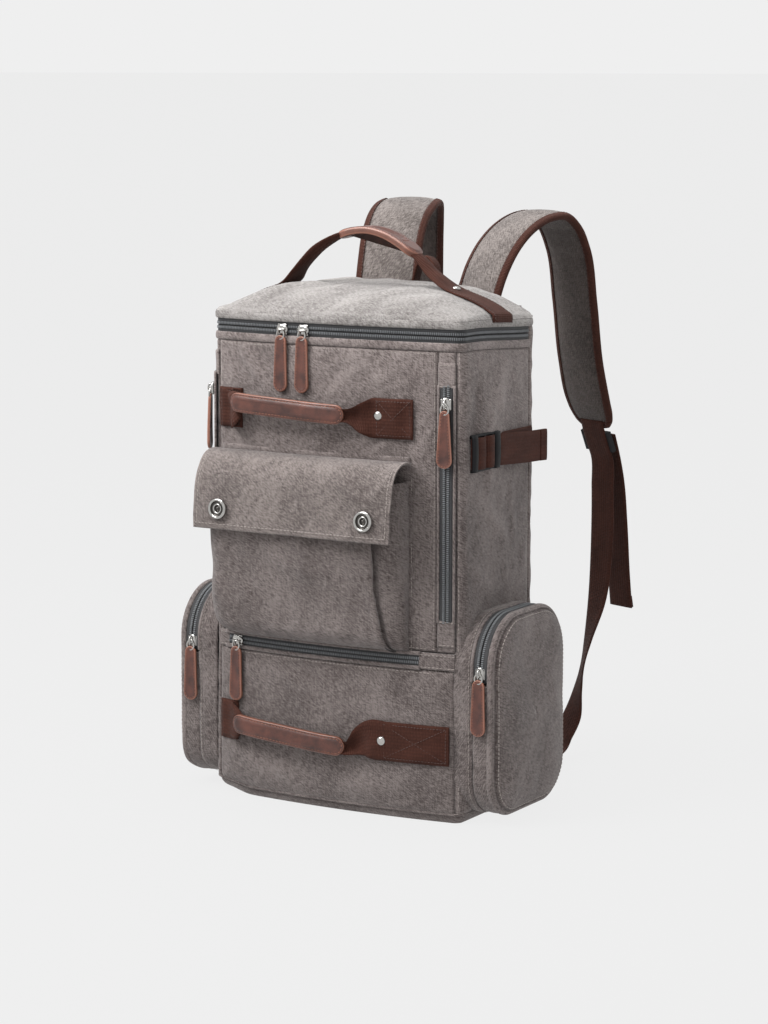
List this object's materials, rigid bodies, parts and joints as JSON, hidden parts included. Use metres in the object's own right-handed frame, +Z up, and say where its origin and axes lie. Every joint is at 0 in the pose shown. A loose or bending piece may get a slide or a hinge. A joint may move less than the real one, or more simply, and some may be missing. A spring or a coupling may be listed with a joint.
{
  "type": "travel backpack",
  "caption": "Upright canvas travel backpack with a zipped domed lid, a flap pocket with snaps, side pockets, leather carry handles and padded shoulder straps.",
  "frame": {"origin": "centre of the flat base, on the surface the pack stands on", "axes": "+Z up along the pack; +Y from the front towards the wearer's back; +X to the right of the front"},
  "size_m": [0.35, 0.4305, 0.566],
  "materials": {
    "canvas": "washed cotton canvas",
    "lid_canvas": "washed cotton canvas, lighter",
    "lining": "woven lining",
    "mesh": "padded spacer mesh",
    "webbing": "dark brown woven webbing",
    "zip": "woven tape with a metal coil",
    "leather": "oiled tan leather",
    "metal": "antique nickel",
    "plastic": "moulded black",
    "board": "stiff sheet"
  },
  "bodies": {
    "pack": {"base_panel": "canvas", "base_board": "board", "front_panel_upper": "canvas", "front_panel_lower": "canvas", "side_panel_right": "canvas", "side_panel_left": "canvas", "back_panel": "canvas", "back_pad": "mesh", "sleeve_divider": "lining", "main_zip_body": "zip", "lower_zip": "zip", "corner_zips": "zip", "pocket_body": "canvas", "snap_studs": "metal", "handle_patches": "webbing", "handle_rivets": "metal", "hang_loop": "webbing", "side_pocket_right": "canvas", "side_pocket_left": "canvas", "side_zips": "zip", "compression_straps": "webbing", "compression_buckles": "plastic", "strap_roots": "webbing", "strap_anchors": "canvas"},
    "lid": {"lid_panel": "lid_canvas", "main_zip_lid": "zip", "lid_handle_bands": "webbing", "lid_rivets": "metal"},
    "top_handle": {"top_handle_webbing": "webbing", "top_handle_grip": "leather"},
    "pocket_flap": {"pocket_flap": "canvas", "snap_caps": "metal"},
    "upper_handle": {"upper_handle_grip": "leather", "upper_handle_webbing": "webbing"},
    "lower_handle": {"lower_handle_grip": "leather", "lower_handle_webbing": "webbing"},
    "side_cover_right": {"side_cover_right": "canvas"},
    "side_cover_left": {"side_cover_left": "canvas"},
    "shoulder_strap_right": {"strap_pad_right": "canvas", "strap_webbing_right": "webbing", "strap_lock_right": "plastic"},
    "strap_tail_right": {"strap_tail_right": "webbing"},
    "shoulder_strap_left": {"strap_pad_left": "canvas", "strap_webbing_left": "webbing", "strap_lock_left": "plastic"},
    "strap_tail_left": {"strap_tail_left": "webbing"},
    "slider_main_left": {"slider_main_left": "metal"},
    "pull_main_left": {"pull_main_left": "leather"},
    "slider_main_right": {"slider_main_right": "metal"},
    "pull_main_right": {"pull_main_right": "leather"},
    "slider_lower": {"slider_lower": "metal"},
    "pull_lower": {"pull_lower": "leather"},
    "slider_corner_right": {"slider_corner_right": "metal"},
    "pull_corner_right": {"pull_corner_right": "leather"},
    "slider_corner_left": {"slider_corner_left": "metal"},
    "pull_corner_left": {"pull_corner_left": "leather"},
    "slider_side_right": {"slider_side_right": "metal"},
    "pull_side_right": {"pull_side_right": "leather"},
    "slider_side_left": {"slider_side_left": "metal"},
    "pull_side_left": {"pull_side_left": "leather"}
  },
  "joints": [
    {"name": "lid_fold", "type": "hinge", "parent": "pack", "child": "lid", "pos_m": [0, 0.075, 0.476], "axis": [-1, 0, 0], "range_deg": [0, 65]},
    {"name": "top_handle_tilt", "type": "hinge", "parent": "lid", "child": "top_handle", "pos_m": [0, 0, 0.5085], "axis": [1, 0, 0], "range_deg": [-15, 60]},
    {"name": "flap_fold", "type": "hinge", "parent": "pack", "child": "pocket_flap", "pos_m": [0, -0.086, 0.3455], "axis": [-1, 0, 0], "range_deg": [0, 75]},
    {"name": "upper_handle_tilt", "type": "hinge", "parent": "pack", "child": "upper_handle", "pos_m": [0, -0.0895, 0.389], "axis": [1, 0, 0], "range_deg": [-20, 20]},
    {"name": "lower_handle_tilt", "type": "hinge", "parent": "pack", "child": "lower_handle", "pos_m": [0, -0.0895, 0.072], "axis": [1, 0, 0], "range_deg": [-20, 20]},
    {"name": "side_cover_right_fold", "type": "hinge", "parent": "pack", "child": "side_cover_right", "pos_m": [0.175, 0, 0.141], "axis": [0, 1, 0], "range_deg": [0, 80]},
    {"name": "side_cover_left_fold", "type": "hinge", "parent": "pack", "child": "side_cover_left", "pos_m": [-0.175, 0, 0.141], "axis": [0, -1, 0], "range_deg": [0, 80]},
    {"name": "shoulder_strap_right_swing", "type": "hinge", "parent": "pack", "child": "shoulder_strap_right", "pos_m": [0.052, 0.088, 0.44], "axis": [0.1299, -0.0192, -0.9913], "range_deg": [-16, 8]},
    {"name": "strap_tail_right_swing", "type": "hinge", "parent": "shoulder_strap_right", "child": "strap_tail_right", "pos_m": [0.11201, 0.27351, 0.324], "axis": [0.9397, -0.342, 0], "range_deg": [-5, 40]},
    {"name": "shoulder_strap_left_swing", "type": "hinge", "parent": "pack", "child": "shoulder_strap_left", "pos_m": [-0.052, 0.088, 0.44], "axis": [0.1299, 0.0192, 0.9913], "range_deg": [-16, 8]},
    {"name": "strap_tail_left_swing", "type": "hinge", "parent": "shoulder_strap_left", "child": "strap_tail_left", "pos_m": [-0.11201, 0.27351, 0.324], "axis": [0.9397, 0.342, 0], "range_deg": [-5, 40]},
    {"name": "slider_main_left_run", "type": "hinge", "parent": "pack", "child": "slider_main_left", "pos_m": [0, 0.73389, 0.462], "axis": [0, 0, -1], "range_deg": [0, 3.24]},
    {"name": "pull_main_left_swing", "type": "hinge", "parent": "slider_main_left", "child": "pull_main_left", "pos_m": [-0.05226, -0.08649, 0.462], "axis": [-0.998, 0.0636, 0], "range_deg": [0, 95]},
    {"name": "slider_main_right_run", "type": "hinge", "parent": "pack", "child": "slider_main_right", "pos_m": [0, 0.73389, 0.462], "axis": [0, 0, 1], "range_deg": [0, 8.84]},
    {"name": "pull_main_right_swing", "type": "hinge", "parent": "slider_main_right", "child": "pull_main_right", "pos_m": [-0.02814, -0.08767, 0.462], "axis": [-0.9994, 0.0342, 0], "range_deg": [0, 95]},
    {"name": "slider_lower_run", "type": "hinge", "parent": "pack", "child": "slider_lower", "pos_m": [0, 0.73389, 0.152], "axis": [0, 0, 1], "range_deg": [0, 13.34]},
    {"name": "pull_lower_swing", "type": "hinge", "parent": "slider_lower", "child": "pull_lower", "pos_m": [-0.10598, -0.08482, 0.152], "axis": [-0.9917, 0.1284, 0], "range_deg": [0, 95]},
    {"name": "slider_corner_right_run", "type": "slide", "parent": "pack", "child": "slider_corner_right", "axis": [0, 0, -1], "range_m": [0, 0.192]},
    {"name": "pull_corner_right_swing", "type": "hinge", "parent": "slider_corner_right", "child": "pull_corner_right", "pos_m": [0.12403, -0.08221, 0.4], "axis": [-0.9744, -0.225, 0], "range_deg": [0, 95]},
    {"name": "slider_corner_left_run", "type": "slide", "parent": "pack", "child": "slider_corner_left", "axis": [0, 0, -1], "range_m": [0, 0.13]},
    {"name": "pull_corner_left_swing", "type": "hinge", "parent": "slider_corner_left", "child": "pull_corner_left", "pos_m": [-0.14135, -0.06741, 0.4], "axis": [-0.3746, 0.9272, 0], "range_deg": [0, 95]},
    {"name": "slider_side_right_run", "type": "hinge", "parent": "pack", "child": "slider_side_right", "pos_m": [0.158, -0.015, 0.142], "axis": [-1, 0, 0], "range_deg": [0, 60]},
    {"name": "pull_side_right_swing", "type": "hinge", "parent": "slider_side_right", "child": "pull_side_right", "pos_m": [0.158, -0.07853, 0.15093], "axis": [-1, 0, 0], "range_deg": [0, 80]},
    {"name": "slider_side_left_run", "type": "hinge", "parent": "pack", "child": "slider_side_left", "pos_m": [-0.158, -0.015, 0.142], "axis": [-1, 0, 0], "range_deg": [0, 60]},
    {"name": "pull_side_left_swing", "type": "hinge", "parent": "slider_side_left", "child": "pull_side_left", "pos_m": [-0.158, -0.07853, 0.15093], "axis": [-1, 0, 0], "range_deg": [0, 80]}
  ]
}
